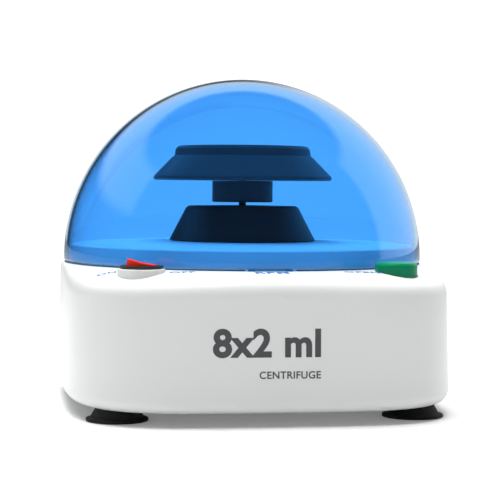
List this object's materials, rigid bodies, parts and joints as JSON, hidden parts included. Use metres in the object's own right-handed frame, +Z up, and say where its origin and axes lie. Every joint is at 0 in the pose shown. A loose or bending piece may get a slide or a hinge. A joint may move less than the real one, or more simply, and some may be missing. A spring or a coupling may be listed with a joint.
{
  "type": "mini centrifuge",
  "caption": "Bench mini centrifuge: rounded-square casing on suction feet, hinged tinted dome lid, fixed-angle tube rotor, rocker switch and lid button.",
  "frame": {"origin": "on the bench, under the middle of the casing", "axes": "+Z up, -Y to the front where the switch and the button are, +X to the right seen from the front"},
  "size_m": [0.2, 0.224, 0.1741],
  "materials": {
    "white_casing": "satin moulded, lightly glossy",
    "blue_lid": "clear tinted, polished",
    "rotor_black": "smooth satin",
    "black_plastic": "satin moulded",
    "red_rocker": "glossy moulded",
    "green_button": "satin moulded",
    "rubber": "matte soft rubber",
    "steel": "plated",
    "brass": "bare",
    "board_green": "solder mask"
  },
  "bodies": {
    "base": {"upper_casing": "white_casing", "base_plate": "white_casing", "foot_front_left": "rubber", "foot_front_right": "rubber", "foot_rear_left": "rubber", "foot_rear_right": "rubber", "case_screw_1": "steel", "case_screw_2": "steel", "case_screw_3": "steel", "case_screw_4": "steel", "rotor_deck": "white_casing", "deck_screw_1": "steel", "deck_screw_2": "steel", "deck_screw_3": "steel", "deck_screw_4": "steel", "motor_cowl": "black_plastic", "motor_can": "steel", "motor_end_cap": "black_plastic", "motor_mount": "steel", "damper_1": "rubber", "damper_2": "rubber", "damper_3": "rubber", "damper_screw_1": "steel", "damper_screw_2": "steel", "damper_screw_3": "steel", "motor_screw_1": "steel", "motor_screw_2": "steel", "switch_housing": "black_plastic", "switch_terminal_1": "brass", "switch_terminal_2": "brass", "button_guide": "white_casing", "button_spring": "steel", "latch_bracket": "steel", "lid_switch": "black_plastic", "hinge_block": "white_casing", "hinge_pin": "steel", "hinge_spring_left": "steel", "hinge_spring_right": "steel", "control_board": "board_green", "board_screw_1": "steel", "board_screw_2": "steel", "capacitor": "black_plastic", "regulator": "steel", "board_connector": "white_casing", "power_inlet": "black_plastic", "inlet_nut": "steel", "lead_inlet": "black_plastic", "lead_motor_plus": "black_plastic", "lead_motor_minus": "black_plastic"},
    "lid": {"lid_dome": "blue_lid", "lid_catch": "blue_lid", "hinge_leaf": "blue_lid"},
    "rotor": {"rotor_head": "rotor_black", "rotor_hub": "rotor_black", "rotor_screw": "rotor_black", "motor_shaft": "steel"},
    "rocker": {"rocker": "red_rocker"},
    "button": {"open_button": "green_button"},
    "latch": {"latch_slider": "black_plastic"}
  },
  "joints": [
    {"name": "lid_hinge", "type": "hinge", "parent": "base", "child": "lid", "pos_m": [0, 0.1082, 0.0792], "axis": [-1, 0, 0], "range_deg": [0, 82], "stiffness_Nm_per_rad": 0.03, "springref_deg": 85.94},
    {"name": "rotor_spin", "type": "hinge", "parent": "base", "child": "rotor", "pos_m": [0, 0.0095, 0.119], "axis": [0, 0, 1], "continuous": true},
    {"name": "rocker_tilt", "type": "hinge", "parent": "base", "child": "rocker", "pos_m": [-0.064, -0.0845, 0.077], "axis": [0, -1, 0], "range_deg": [0, 20]},
    {"name": "button_press", "type": "slide", "parent": "base", "child": "button", "axis": [0, 0, -1], "range_m": [0, 0.004], "stiffness_N_per_m": 500, "springref_m": -0.002, "deforming": ["button_spring"]},
    {"name": "latch_slide", "type": "slide", "parent": "base", "child": "latch", "axis": [1, 0, 0], "range_m": [0, 0.004]}
  ],
  "couplings": [
    {"joint": "latch_slide", "follows": "button_press", "ratio": 1}
  ]
}
